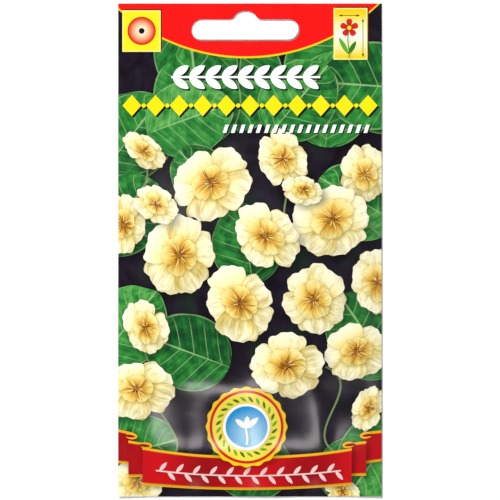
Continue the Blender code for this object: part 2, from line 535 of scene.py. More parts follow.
# %% Plant panel
GREEN, DEEP_GREEN = srgb(92, 176, 46), srgb(44, 124, 30)
PANEL_MIDDLE, PANEL_REACH = np.array([28.6, 62.6]), 8.0
PANEL_STOPS = (
    (0.0, (250, 250, 236)), (0.3, (250, 246, 190)), (0.75, (246, 214, 30)), (1.0, (244, 202, 16)),
)
FLOWER, FLOWER_RADIUS = np.array([29.0, 64.9]), 2.7
FLOWER_STOPS = ((0.0, (170, 20, 20)), (1.0, (226, 42, 34)))
ARROWS = (((26.0, 68.5), (32.0, 68.5)), ((33.0, 56.4), (33.0, 67.6)))


def panel_ink(points):
    """A fade up and down the panel, the same all the way across."""
    drop = np.column_stack([points[:, 0] * 0.0 + PANEL_MIDDLE[0], points[:, 1]])
    return fade(drop, PANEL_MIDDLE, PANEL_REACH, PANEL_STOPS)


def arrow(start, end, thick=0.18, head=0.9, head_half=0.34):
    """A thin line with a head at both ends."""
    start, end = np.array(start), np.array(end)
    ahead = (end - start) / np.hypot(*(end - start))
    side = np.array([-ahead[1], ahead[0]])
    edge = side * thick / 2.0
    lay(closed_curve([start + edge, start - edge, end - edge, end + edge]), BLACK)
    for tip, back in ((start, ahead * head), (end, ahead * -head)):
        lay([tip, tip + back + side * head_half, tip + back - side * head_half], BLACK)


panel(24.4, 34.3, 55.6, 70.7, panel_ink)
for low, high in ((58.0, 61.0), (61.0, 64.5), (64.5, 67.0)):
    lay(block(24.7, 34.0, low, high, 0.7), panel_ink)
stem([(28.9, 56.2), (28.9, 58.5), (28.6, 61.0), (28.9, 64.0)], 0.26, DEEP_GREEN)
for angle, length, ink in ((2.1, 5.6, GREEN), (1.05, 4.4, DEEP_GREEN)):
    lay(blade(np.array([28.8, 57.2]), angle, length, 1.0, slim_width, plain)[0], ink)
for place in range(PETALS):
    angle = math.pi / 2.0 + 2.0 * math.pi * place / PETALS
    outline, _ = blade(FLOWER, angle, FLOWER_RADIUS, 1.15, petal_width, plain, count=11)
    lay(outline, lambda p: fade(p, FLOWER, FLOWER_RADIUS, FLOWER_STOPS))
lay(ellipse(*FLOWER, 0.62, count=14), YELLOW)
for start, end in ARROWS:
    arrow(start, end)
print(len(layers), "shapes with the header")

# %% [markdown]
# ### The ribbon and the round seal
#
# A red scroll with gilt edges runs across the foot of the packet. It folds back twice at each end,
# and each fold is printed darker. Over its middle sits a round seal, with a toothed gilt rim and a
# young plant in it.

# %% Ribbon
GILT, DARK_RED = srgb(242, 178, 24), srgb(140, 8, 16)
BLUSH = srgb(240, 202, 198)
TAIL_SHADE, FOLD_SHADE = 0.86, 0.74
RIBBON_CAST = ((0.8, 0.5, 0.5), (1.8, 0.9, 0.55))
CURL_CAST = ((0.5, 0.3, 0.5), (1.2, 0.6, 0.5))
RIGHT_FOLD = -1


def ribbon_ink(points, shade):
    wave = 0.75 + 0.23 * np.cos((points[:, 0] - 2.0) / 4.9)
    return np.outer(wave * shade, srgb(205, 10, 22))


def ribbon_panel(left, right, low, high, shade, group=None, edge=0.75):
    """A strip of ribbon between two edge curves, given as functions of x, with gilt edges."""
    group = group or len(layers)
    x = np.linspace(left, right, max(8, int((right - left) / 0.8)))
    for inset, ink in ((0.0, GILT), (edge, lambda p: ribbon_ink(p, shade))):
        under = np.column_stack([x, low(x) + inset])
        over = np.column_stack([x, high(x) - inset])[::-1]
        lay(np.concatenate([under, over]), ink, group=group, cast=RIBBON_CAST)


def main_high(x):
    return -60.2 + 2.4 * (abs(x) / 30.0) ** 2.2


def main_low(x):
    return -70.1 + 1.4 * (abs(x + 1.0) / 30.0) ** 2.0


def flat_line(height, slope=0.0, about=0.0):
    return lambda x: height + slope * (x - about)


def curl(x, y, way):
    """A fold seen from its end: the gilt edge turns back in a narrow loop, open towards the tail.

    It shares the group of the right fold, which keeps the shadow between those two short.
    """
    turn = -0.12 * way
    lay(ellipse(x, y, 1.75, 0.95, 26, turn), GILT, group=RIGHT_FOLD, cast=CURL_CAST)
    lay(ellipse(x - 0.55 * way, y, 1.6, 0.4, 24, turn), DARK_RED, group=RIGHT_FOLD)


ribbon_panel(-38.95, -34.0, flat_line(-62.4, -0.1, -37), flat_line(-52.7, -0.22, -37), TAIL_SHADE)
ribbon_panel(33.0, 38.95, flat_line(-62.0, 0.12, 36), flat_line(-52.9, 0.1, 36), TAIL_SHADE)
curl(-34.6, -54.3, 1.0)
curl(33.8, -54.1, -1.0)
ribbon_panel(-35.5, -29.5, flat_line(-65.6, 0.02), flat_line(-56.0, -0.16, -33), FOLD_SHADE)
ribbon_panel(
    28.0, 33.9, flat_line(-65.9, 0.03, 33), flat_line(-55.9, 0.12, 33), FOLD_SHADE, RIGHT_FOLD
)
curl(-30.3, -57.1, 1.0)
curl(28.7, -56.9, -1.0)
ribbon_panel(-31.4, 29.7, main_low, main_high, 1.0)


# %% Garland
def ribbon_middle(x):
    return (main_low(x) + main_high(x)) / 2.0 - 0.8


vine_x = np.linspace(-27.5, 26.5, 9)
stem(np.column_stack([vine_x, ribbon_middle(vine_x)]), 0.42, BLUSH)
for place in range(22):
    x = -26.5 + 2.45 * place
    foot, angle = np.array([x, ribbon_middle(x)]), (0.85, -0.85)[place % 2]
    lay(blade(foot, angle, 3.3, 0.85, slim_width, plain, count=13)[0], BLUSH)

# %% Round seal
SEAL, TEETH = np.array([-1.0, -51.6]), 20
SEAL_CAST = ((0.8, 0.4, 0.4), (2.2, 1.0, 0.6))
MEDAL_CAST = ((0.5, 0.2, 0.35), (0.5, 0.2, 0.35))
SKY = ((0.0, (190, 232, 250)), (1.0, (24, 150, 214)))
SEAL_LEAVES = 24


def disc(radius, ink, deep=0.0, cast=None):
    """A disc of the seal, with teeth of the given depth round its rim."""
    ring = ellipse(0.0, 0.0, 1.0, count=160)
    wave = radius * (1.0 + deep * np.cos(TEETH * np.arctan2(ring[:, 1], ring[:, 0])))
    lay(ring * wave[:, None] + SEAL, ink, group=len(layers), cast=cast)


disc(11.7, srgb(246, 202, 20), 0.02, SEAL_CAST)
disc(10.8, srgb(206, 30, 22))
disc(10.0, srgb(246, 222, 70))
for place in range(SEAL_LEAVES):
    angle = 2.0 * math.pi * place / SEAL_LEAVES
    foot = SEAL + 7.5 * heading(angle)
    outline, _ = blade(foot, angle + 0.95, 2.3, 0.62, slim_width, plain, count=9)
    lay(outline, (GREEN, DEEP_GREEN)[place % 2])
disc(6.9, WHITE, 0.0, MEDAL_CAST)
disc(6.1, lambda p: fade(p, SEAL + (1.0, -2.0), 7.5, SKY))
stem([SEAL + (0, -5.2), SEAL + (0.2, -3.0), SEAL + (-0.1, -1.0), SEAL + (0, 0.6)], 0.6, WHITE)
for angle, length in ((0.75, 4.6), (2.45, 4.2), (1.5, 3.6)):
    lay(blade(SEAL + (0, -0.4), angle, length, 1.25, slim_width, plain)[0], WHITE)
print(len(layers), "shapes in all")

# %% [markdown]
# ### The hang slot
#
# The slot is a long rounded hole with a hump in the middle, which slips over a shop's peg. It comes
# last on the stack, and whatever lies in it is thrown away when the film is cut.


# %% Slot outline
SLOT_PLACE = (-1.3, 64.2)
SLOT_RADIUS, SLOT_STRAIGHT = 3.15, 12.65
HUMP_HALF, HUMP_TALL = 3.4, 2.5


def smooth(low, high, value):
    share = np.clip((value - low) / (high - low), 0.0, 1.0)
    return share * share * (3.0 - 2.0 * share)


def slot_outline(shift=(0.0, 0.0)):
    """The right half goes round the end and up the hump, and the left half mirrors it."""
    turn = np.linspace(-math.pi / 2.0, math.pi / 2.0, 13)
    right = np.column_stack([SLOT_STRAIGHT + SLOT_RADIUS * np.cos(turn), SLOT_RADIUS * np.sin(turn)])
    swing = np.radians([14.0, 27.0, 40.0, 53.0, 66.0, 78.0, 90.0])
    hump = np.column_stack([HUMP_HALF * np.cos(swing), SLOT_RADIUS + HUMP_TALL * np.sin(swing)])
    half = np.concatenate([right, [(4.5, SLOT_RADIUS), (3.8, SLOT_RADIUS + 0.22)], hump])
    return np.concatenate([half, (half * (-1.0, 1.0))[-2::-1]]) + np.add(SLOT_PLACE, shift)


lay(slot_outline(), finish="hole")


# %% [markdown]
# ## Cutting the print into the film
#
# A Delaunay triangulation with constraints keeps every outline of the print as real edges of the
# mesh, so the print stays sharp however close the camera comes. For each triangle it tells which
# outlines hold it, and the one highest on the stack wins. Each corner of a triangle then gets its
# ink, its place on the winner's ruler and its share of printed shadow.


# %% Triangles and their winners
SLIVER = 0.17
ROW_STEP = 0.866


def grid(pitch, half_wide, half_tall, margin=0.35):
    """Points in even triangles all over the sheet, so that it can bend where nothing is printed."""
    rows = np.arange(-half_tall + margin, half_tall - margin, pitch * ROW_STEP)
    made = []
    for number, y in enumerate(rows):
        start = -half_wide + margin + (number % 2) * pitch / 2.0
        x = np.arange(start, half_wide - margin, pitch)
        made.append(np.column_stack([x, np.full(len(x), y)]))
    return np.concatenate(made)


def from_outline(points, outline):
    """Distance from each point to the outline, negative inside it."""
    start, end = outline, np.roll(outline, -1, axis=0)
    side = end - start
    long = np.maximum((side**2).sum(axis=1), 1e-12)
    to_point = points[:, None, :] - start[None]
    share = np.clip((to_point * side[None]).sum(axis=2) / long, 0.0, 1.0)
    near = np.sqrt(((to_point - share[..., None] * side[None]) ** 2).sum(axis=2)).min(axis=1)
    above = (start[None, :, 1] > points[:, None, 1]) != (end[None, :, 1] > points[:, None, 1])
    rise = np.where(abs(side[:, 1]) < 1e-9, 1e-9, side[:, 1])
    cross = start[:, 0] + (points[:, None, 1] - start[:, 1]) * side[:, 0] / rise
    inside = (above & (points[:, None, 0] < cross)).sum(axis=1) % 2 == 1
    return np.where(inside, -near, near)


def cut_sheet(stack, points):
    """Triangulates the stack. Gives flat points, triangles, and the layer that shows in each."""
    clear = np.ones(len(points), bool)
    for layer in stack:
        low, high = layer["outline"].min(axis=0) - SLIVER, layer["outline"].max(axis=0) + SLIVER
        near = np.flatnonzero(((points > low) & (points < high)).all(axis=1))
        if len(near):
            clear[near] &= abs(from_outline(points[near], layer["outline"])) > SLIVER
    flat = [tuple(p) for p in points[clear]]
    outlines = []
    for layer in stack:
        first = len(flat)
        flat.extend(tuple(p) for p in layer["outline"])
        outlines.append(list(range(first, len(flat))))
    found = delaunay_2d_cdt(flat, [], outlines, 0, 1e-4, True)
    corners = np.array([tuple(v) for v in found[0]])
    triangles, winners = [], []
    for triangle, held in zip(found[2], found[5]):
        if 0 in held and len(triangle) == 3:
            winner = max(held)
            if stack[winner]["finish"] != "hole":
                triangles.append(triangle)
                winners.append(winner)
    used, triangles = np.unique(np.array(triangles), return_inverse=True)
    return corners[used], triangles.reshape(-1, 3), np.array(winners)


front_grid = grid(0.95, HALF_WIDE - 0.5, HALF_TALL)
front_flat, front_triangles, front_winners = cut_sheet(layers, front_grid)
print(len(front_flat), "points,", len(front_triangles), "triangles in the printed front")


# %% Printed shadows
DOWN_RIGHT = np.array([0.7, -0.7])


def printed_shadows(stack, flat, triangles, winners):
    shade = np.ones((len(triangles), 3))
    groups = np.array([layer["group"] for layer in stack])[winners]
    for number, layer in enumerate(stack):
        if layer["cast"] is None:
            continue
        for same, (soft, offset, strength) in zip((True, False), layer["cast"]):
            moved = flat - DOWN_RIGHT * offset
            low, high = layer["outline"].min(axis=0) - soft, layer["outline"].max(axis=0) + soft
            near = np.flatnonzero(((moved > low) & (moved < high)).all(axis=1))
            if not len(near):
                continue
            dark = np.zeros(len(flat))
            dark[near] = 1.0 - smooth(-soft, soft, from_outline(moved[near], layer["outline"]))
            under = (winners < number) & ((groups == layer["group"]) == same)
            shade[under] *= 1.0 - strength * dark[triangles[under]]
    return shade


front_shade = printed_shadows(layers, front_flat, front_triangles, front_winners)
print(f"printed shadow goes down to {front_shade.min():.2f}")


# %% The flat sheet as a mesh
FINISHES = ["ground", "petal", "leaf", "heart", "ink"]
PRINT_MAP, MAP_EDGE = (0.95, 0.996), 0.002
OWN_STEP = 0.37


def sheet_mesh(name, stack, flat, triangles, winners, shade, finishes):
    """The cut print as a mesh, with its corner attributes, still flat and in metres.

    Its map OFBake spreads the flat print over a square.
    """
    mesh = bpy.data.meshes.new(name)
    points = np.column_stack([flat * MM, np.zeros(len(flat))])
    mesh.from_pydata(points.tolist(), [], triangles.tolist())
    mesh.update()
    ink = np.ones((len(triangles), 3, 4))
    ruler = np.zeros((len(triangles), 3, 3))
    for number in np.unique(winners):
        layer = stack[number]
        mine = winners == number
        places = flat[triangles[mine]].reshape(-1, 2)
        given_ink = layer["ink"](places) if callable(layer["ink"]) else [layer["ink"]] * len(places)
        ink[mine, :, :3] = np.reshape(given_ink, (-1, 3, 3))
        if layer["ruler"] is not None:
            ruler[mine, :, :2] = layer["ruler"](places).reshape(-1, 3, 2)
        ruler[mine, :, 2] = number * OWN_STEP
    spread = (flat[triangles].reshape(-1, 2) / (HALF_WIDE + WRAP, HALF_TALL) + 1.0) / 2.0
    bake_map = mesh.uv_layers.new(name="OFBake").uv
    bake_map.foreach_set("vector", (spread * PRINT_MAP + MAP_EDGE).ravel())
    tone = np.array([layer["tone"] for layer in stack])[winners]
    for label, kind, field, values in (
        ("ink", "FLOAT_COLOR", "color", ink),
        ("ruler", "FLOAT_VECTOR", "vector", ruler),
        ("shade", "FLOAT", "value", shade),
        ("tone", "FLOAT", "value", np.repeat(tone[:, None], 3, axis=1)),
    ):
        mesh.attributes.new(label, kind, "CORNER").data.foreach_set(field, values.ravel())
    slot_of = {finish: slot for slot, finish in enumerate(finishes)}
    slots = np.array([slot_of.get(layer["finish"], 0) for layer in stack])
    mesh.polygons.foreach_set("material_index", slots[winners])
    return mesh


front_mesh = sheet_mesh(
    "front_sheet", layers, front_flat, front_triangles, front_winners, front_shade, FINISHES
)

# %% [markdown]
# ## Raising the film with Geometry Nodes
#
# The bag has a rule: it is flat at its head, sealed at its foot, folded at its sides, and it rises
# over the seeds in between. Geometry Nodes write that rule once, with its sizes as named inputs, for
# the front and the back alike. Small tents stand over the seeds, upright puckers fade out above the
# bottom seal, and a faint unevenness breaks up the mirror of the gloss.


# %% Node helpers
def maths(kind, *values, clamp=False):
    """One Math node. Each value is a number or the socket that brings it, and one is a socket."""
    tree = next(value.id_data for value in values if isinstance(value, bpy.types.NodeSocket))
    inputs = dict(enumerate(values))
    return add(tree, "ShaderNodeMath", inputs, operation=kind, use_clamp=clamp).outputs[0]


def product(*factors):
    total = factors[0]
    for factor in factors[1:]:
        total = maths("MULTIPLY", total, factor)
    return total


def bell(away):
    """1 where away is 0, fading softly to nothing on both sides."""
    return maths("EXPONENT", maths("MULTIPLY", maths("POWER", away, 2.0), -1.0))


def ramp(value, low, high, start=0.0, end=1.0, kind="SMOOTHSTEP"):
    """A Map Range node: start below low, end above high."""
    inputs = {"Value": value, "From Min": low, "From Max": high, "To Min": start, "To Max": end}
    return add(value.id_data, "ShaderNodeMapRange", inputs, interpolation_type=kind).outputs[0]


def noise(vector, scale, detail=2.0, distortion=0.0):
    inputs = {"Vector": vector, "Scale": scale, "Detail": detail, "Distortion": distortion}
    return add(vector.id_data, "ShaderNodeTexNoise", inputs).outputs[0]


def joined(x, y, z):
    return add(x.id_data, "ShaderNodeCombineXYZ", {0: x, 1: y, 2: z}).outputs[0]


def new_tree(name, kind, inputs, outputs):
    """A tree with its named inputs. Returns it, the sockets that bring them, and its output node."""
    tree = bpy.data.node_groups.new(name, kind)
    for label, socket, default in inputs:
        made = tree.interface.new_socket(label, in_out="INPUT", socket_type=socket)
        if default is not None:
            made.default_value = default
    for label, socket in outputs:
        tree.interface.new_socket(label, in_out="OUTPUT", socket_type=socket)
    return tree, tree.nodes.new("NodeGroupInput").outputs, tree.nodes.new("NodeGroupOutput")


# %% The rule of the bag
FILM = 0.15
PLIES = 2.0 * FILM + 0.04
BULGE_FOOT, BULGE_CREST, BULGE_END = -HALF_TALL + 12.0, -6.0, 47.0
SIDE_POWER, RISE_POWER = 2.6, 0.8
FLOAT = "NodeSocketFloat"
BAG_SIZES = {
    "Bulge": 7.2, "Rise Over Seal": 27.0, "Pucker": 0.7, "Pucker Pitch": 17.5, "Tent": 0.5,
    "Unevenness": 0.16, "Header Crease": 0.3, "Side Lift": 0.45, "Ply Height": PLIES,
    "Fold Radius": PLIES / 2.0, "Seam Strip": 0.0,
}
form, rule, result = new_tree("raise_film", "GeometryNodeTree", (
    ("Geometry", "NodeSocketGeometry", None),
    ("Seeds", "NodeSocketObject", None),
    *((name, FLOAT, size) for name, size in BAG_SIZES.items()),
    ("Inner Film", "NodeSocketMaterial", None),
), (("Geometry", "NodeSocketGeometry"),))
where = add(form, "GeometryNodeInputPosition").outputs[0]
here = add(form, "ShaderNodeSeparateXYZ", {0: where}).outputs
x_mm = maths("MULTIPLY", here["X"], 1.0 / MM)
y_mm = maths("MULTIPLY", here["Y"], 1.0 / MM)
from_middle = maths("ABSOLUTE", x_mm)
across = maths("DIVIDE", from_middle, HALF_WIDE, clamp=True)
dome = maths("SUBTRACT", 1.0, maths("POWER", across, SIDE_POWER))
rise_top = maths("ADD", BULGE_FOOT, rule["Rise Over Seal"])
rise = maths("POWER", ramp(y_mm, BULGE_FOOT, rise_top), RISE_POWER)
fall = ramp(y_mm, BULGE_CREST, BULGE_END, 1.0, 0.0)
swell = product(dome, rise, fall)
bulge = maths("MULTIPLY", swell, rule["Bulge"])

# %% Puckers and tents
PUCKER_START, PUCKER_FADE, PUCKER_END = (above - HALF_TALL for above in (7.0, 14.0, 34.0))
TENT_REACH = 5.5
turn = maths("DIVIDE", 2.0 * math.pi, rule["Pucker Pitch"])
wave = maths("SINE", maths("ADD", maths("MULTIPLY", x_mm, turn), 0.9))
wave = maths("POWER", maths("MULTIPLY_ADD", wave, 0.5, 0.5), 2.0)
low_fade = ramp(y_mm, PUCKER_FADE, PUCKER_END, 1.0, 0.0)
low_fade = maths("MULTIPLY", low_fade, ramp(y_mm, -HALF_TALL, PUCKER_START))
side_fade = ramp(across, 0.86, 0.98, 1.0, 0.0)
pucker = product(wave, low_fade, side_fade, rule["Pucker"])
seeds_in = add(form, "GeometryNodeObjectInfo", {"Object": rule["Seeds"]}).outputs["Geometry"]
nearest = add(form, "GeometryNodeProximity", {0: seeds_in}, target_element="POINTS")
away = maths("MULTIPLY", nearest.outputs["Distance"], 1.0 / MM / TENT_REACH)
tent = product(bell(away), swell, rule["Tent"])

# %% Unevenness, crease and seam
CREASE_X, CREASE_WIDE, CREASE_START, CREASE_FULL = 12.3, 1.6, 64.0, 68.5
SEAM_LEFT, SEAM_RIGHT, SEAM_RAMP, SEAM_LIFT, SEAM_EDGE = -1.0, 9.0, 4.5, 0.22, 0.02
ripple = product(noise(where, 55.0, 2.0, 0.4), rule["Unevenness"], side_fade)
off_crease = maths("DIVIDE", maths("SUBTRACT", x_mm, CREASE_X), CREASE_WIDE)
to_top = ramp(y_mm, CREASE_START, CREASE_FULL)
crease = product(bell(off_crease), to_top, rule["Header Crease"])
seam_up = ramp(x_mm, SEAM_LEFT - SEAM_RAMP, SEAM_LEFT, kind="LINEAR")
seam_down = ramp(x_mm, SEAM_RIGHT, SEAM_RIGHT + SEAM_RAMP, 1.0, 0.0, "LINEAR")
seam_middle = (SEAM_LEFT + SEAM_RIGHT) / 2.0
off_middle = maths("ABSOLUTE", maths("SUBTRACT", x_mm, seam_middle))
on_strip = maths("LESS_THAN", off_middle, SEAM_RIGHT + SEAM_EDGE - seam_middle)
off_strip = maths("SUBTRACT", 1.0, maths("MULTIPLY", rule["Seam Strip"], on_strip))
seam = product(maths("MINIMUM", seam_up, seam_down), SEAM_LIFT, off_strip)

# %% Side lift and folds
LIFT_START, LIFT_FULL_Y, HEAD_LIFT = 0.72, 30.0, 0.35
up_side = ramp(y_mm, HALF_TALL, LIFT_FULL_Y, HEAD_LIFT, 1.0)
lift = product(ramp(across, LIFT_START, 1.0), up_side, rule["Side Lift"])
height = maths("ADD", bulge, pucker)
for part in (lift, tent, ripple, seam, crease, rule["Ply Height"]):
    height = maths("ADD", height, part)
fold_start = maths("SUBTRACT", HALF_WIDE, rule["Fold Radius"])
past = maths("MAXIMUM", maths("SUBTRACT", from_middle, fold_start), 0.0)
radius = maths("MAXIMUM", rule["Fold Radius"], 0.001)
bend = maths("MINIMUM", maths("DIVIDE", past, radius), math.pi)
out = maths("MULTIPLY", maths("SINE", bend), radius)
drop = maths("MULTIPLY", maths("SUBTRACT", 1.0, maths("COSINE", bend)), radius)
new_x = maths("ADD", maths("MINIMUM", from_middle, fold_start), out)
new_x = product(new_x, maths("SIGN", x_mm), MM)
new_z = maths("MULTIPLY", maths("SUBTRACT", height, drop), MM)
moved = add(form, "GeometryNodeSetPosition", {
    "Geometry": rule["Geometry"], "Position": joined(new_x, here["Y"], new_z),
})

# %% [markdown]
# The raised sheet then gets its real thickness. A copy is pushed inwards along the normals, which
# also makes the rims along the cut edges, and is turned round to face inwards. Both are welded, and
# the rims stay sharp. Only the inner half takes the plain material, so the print keeps its own.

# %% Thickness and rims
RIM_ANGLE = math.radians(70.0)
inward = add(form, "GeometryNodeExtrudeMesh", {
    "Mesh": moved, "Offset Scale": -FILM * MM, "Individual": False,
}).outputs
turned_round = add(form, "GeometryNodeFlipFaces", {"Mesh": inward["Mesh"]})
both = add(form, "GeometryNodeJoinGeometry", {0: turned_round})
wire(both, {0: moved})
weld = add(form, "GeometryNodeMergeByDistance", {"Geometry": both, "Distance": 1e-7})
soft = add(form, "GeometryNodeSetShadeSmooth", {"Geometry": weld})
edge_angle = add(form, "GeometryNodeInputMeshEdgeAngle").outputs["Unsigned Angle"]
crisp = add(form, "GeometryNodeSetShadeSmooth", {
    "Geometry": soft,
    "Selection": maths("GREATER_THAN", edge_angle, RIM_ANGLE),
    "Shade Smooth": False,
}, domain="EDGE")
plain_half = add(form, "FunctionNodeBooleanMath", operation="OR")
wire(plain_half, {0: inward["Top"], 1: inward["Side"]})
realized = add(form, "GeometryNodeRealizeInstances", {0: crisp})
dress = add(form, "GeometryNodeSetMaterial", {
    "Geometry": realized, "Selection": plain_half, "Material": rule["Inner Film"],
})
wire(result, {"Geometry": dress})
print(len(form.nodes), "nodes raise the film")

# %% [markdown]
# The tents stand over the seeds' own places in the CAD model.

# %% Seed marks
marks = bpy.data.meshes.new("seed_marks")
seed_places = []
for name in SEEDS:
    low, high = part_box(name)
    seed_places.append(((low[0] + high[0]) / 2.0, (low[1] + high[1]) / 2.0, 0.0))
marks.from_pydata(seed_places, [], [])
seed_marks = placed("seed_marks", marks)

# %% [markdown]
# Running the rule gives one plain mesh. The map OFBake has the print on most of its square.
# The inner half of the film is moved into a strip beside it, so that the two don't overlap.


# %% Raise a sheet
INNER_LEFT, INNER_WIDE = 0.965, 0.03


def film_piece(name, sheet, settings, finishes):
    """Runs the rule on a flat sheet and turns the result into the named piece, a plain mesh."""
    for finish in finishes:
        sheet.materials.append(finish)
    carrier = placed("carrier", sheet)
    modifier = carrier.modifiers.new("raise_film", "NODES")
    modifier.node_group = form
    for item in form.interface.items_tree:
        if item.item_type == "SOCKET" and item.in_out == "INPUT" and item.name in settings:
            modifier[item.identifier] = settings[item.name]
    raised = carrier.evaluated_get(bpy.context.evaluated_depsgraph_get())
    made = bpy.data.meshes.new_from_object(raised)
    bpy.data.objects.remove(carrier, do_unlink=True)
    made.name = name
    narrow_inner_map(made, len(finishes))
    piece = placed(name, made)
    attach(piece, "root")
    print(name, len(made.polygons), "faces,", len(made.materials), "finishes")
    return piece


def narrow_inner_map(mesh, inner_slot):
    place = np.empty(len(mesh.loops) * 2)
    layer = mesh.uv_layers["OFBake"].uv
    layer.foreach_get("vector", place)
    place = place.reshape(-1, 2)
    slots = np.empty(len(mesh.polygons), int)
    mesh.polygons.foreach_get("material_index", slots)
    sides = np.empty(len(mesh.polygons), int)
    mesh.polygons.foreach_get("loop_total", sides)
    inner = np.repeat(slots == inner_slot, sides)
    place[inner, 0] = INNER_LEFT + INNER_WIDE * place[inner, 0]
    layer.foreach_set("vector", place.ravel())


# %% [markdown]
# ## Finishes
#
# The print is under a clear glossy skin, so every finish is the same film with other ink below it.
# Two effects are shared by all of them as node groups: `press_grain`, the fine unevenness of ink,
# and `film_skin`, the scuffs and tiny waves of the skin itself.


# %% Shared groups
COLOUR = "NodeSocketColor"


def object_place(tree):
    return add(tree, "ShaderNodeTexCoord").outputs["Object"]


grain, grain_in, grain_out = new_tree(
    "press_grain",
    "ShaderNodeTree",
    (("Ink", COLOUR, None), ("Shade", FLOAT, 1.0), ("Amount", FLOAT, 0.12)),
    (("Ink", COLOUR),),
)
grain_place = object_place(grain)
fine, broad = noise(grain_place, 2600.0, 1.0), noise(grain_place, 420.0, 3.0)
both = maths("MULTIPLY_ADD", maths("ADD", fine, broad), 1.0, -1.0)
level = maths("MULTIPLY_ADD", both, grain_in["Amount"], 1.0)
level = maths("MULTIPLY", level, grain_in["Shade"])
scaled = add(grain, "ShaderNodeVectorMath", operation="SCALE")
wire(scaled, {0: grain_in["Ink"], "Scale": level})
wire(grain_out, {"Ink": scaled})

skin, skin_in, skin_out = new_tree(
    "film_skin",
    "ShaderNodeTree",
    (("Roughness", FLOAT, 0.22), ("Scuff", FLOAT, 0.1)),
    (("Roughness", FLOAT), ("Height", FLOAT)),
)
skin_place = object_place(skin)
hazed = ramp(noise(skin_place, 70.0, 4.0, 0.8), 0.52, 0.72)
wire(skin_out, {
    "Roughness": maths("MULTIPLY_ADD", hazed, skin_in["Scuff"], skin_in["Roughness"]),
    "Height": noise(skin_place, 160.0, 2.0, 0.3),
})


# %% A film finish
def attribute(tree, name, output="Fac"):
    return add(tree, "ShaderNodeAttribute", attribute_name=name).outputs[output]


def film_finish(name, roughness=0.2, scuff=0.1, grain_amount=0.12):
    """A glossy film material. Returns its tree and the socket that takes the ink."""
    made, tree, shader = new_material(name)
    over = add(tree, "ShaderNodeGroup", node_tree=skin)
    wire(over, {"Roughness": roughness, "Scuff": scuff})
    press = add(tree, "ShaderNodeGroup", node_tree=grain)
    wire(press, {"Shade": attribute(tree, "shade"), "Amount": grain_amount})
    bump = add(tree, "ShaderNodeBump", {
        "Strength": 0.25, "Distance": 0.0002, "Height": over.outputs["Height"],
    })
    wire(shader, {
        "Base Color": press,
        "Roughness": over.outputs["Roughness"],
        "Specular IOR Level": 0.35,
        "Coat Weight": 0.3,
        "Coat Roughness": 0.15,
        "Normal": bump,
    })
    return made, tree, press.inputs["Ink"]


def ruler_of(tree):
    """The ruler's sockets: across, along and the blade's own number."""
    return list(add(tree, "ShaderNodeSeparateXYZ", {0: attribute(tree, "ruler", "Vector")}).outputs)


def blade_noise(ruler, stretch, scale, detail=2.0, distortion=0.0):
    """Noise on a blade's ruler, drawn out by a factor across the blade and one along it."""
    across, along = (maths("MULTIPLY", side, times) for side, times in zip(ruler, stretch))
    return noise(joined(across, along, ruler[2]), scale, detail, distortion)


def swayed(base, wave, amount):
    """The base value, pushed up and down by a wave that swings round 0.5."""
    return maths("MULTIPLY_ADD", maths("SUBTRACT", wave, 0.5), amount, base)


def mixed(share, first, second, kind="MIX"):
    """A Mix Color node. Share, first and second are sockets, numbers or colours."""
    node = add(first.id_data, "ShaderNodeMix", data_type="RGBA", blend_type=kind)
    wire(node, {0: share, 6: first, 7: second})
    return node.outputs[2]


def stops(value, colours):
    """A colour ramp with the given stops, each a place and a colour as picked on screen."""
    node = add(value.id_data, "ShaderNodeValToRGB", {0: value})
    steps = node.color_ramp.elements
    while len(steps) < len(colours):
        steps.new(0.5)
    for step, (place, colour) in zip(steps, colours):
        step.position = place
        step.color = (*srgb(*colour), 1.0)
    return node.outputs[0]


# %% [markdown]
# ### Petals
#
# A cream petal is amber at its foot and almost white at its rim. Fine ribs run along it and slow
# folds lie across it. Where it turns from the light it goes to a deep straw yellow and not to grey.

# %% Petal finish
petal_finish, tree, ink_in = film_finish("printed_petal")
ruler = ruler_of(tree)
ribs = blade_noise(ruler, (7.0, 1.0), 2.2, 3.0, 0.2)
veins = blade_noise(ruler, (24.0, 1.6), 1.4)
folds = blade_noise(ruler, (2.0, 1.4), 1.7)
streaked = swayed(swayed(ruler[1], ribs, 0.3), veins, 0.16)
cream = stops(streaked, (
    (0.08, (180, 114, 22)), (0.24, (234, 180, 68)), (0.40, (252, 228, 132)),
    (0.62, (255, 247, 190)), (0.95, (255, 253, 226)),
))
lit = maths("MULTIPLY_ADD", attribute(tree, "tone"), 0.95, 0.4)
for wave, amount in ((folds, 1.9), (ribs, 1.1), (veins, 0.8)):
    lit = swayed(lit, wave, amount)
to_rim = maths("POWER", maths("ABSOLUTE", ruler[0]), 3.0)
lit = maths("SUBTRACT", lit, maths("MULTIPLY", to_rim, 0.25), clamp=True)
straw = mixed(1.0, cream, srgb(196, 180, 112), "MULTIPLY")
tree.links.new(mixed(lit, straw, cream), ink_in)

# %% [markdown]
# ### Leaves
#
# A leaf has a pale midrib and side veins that lean towards its tip. Between the veins the blade
# swells, so the green is lighter on the side that faces the light and darker on the other.

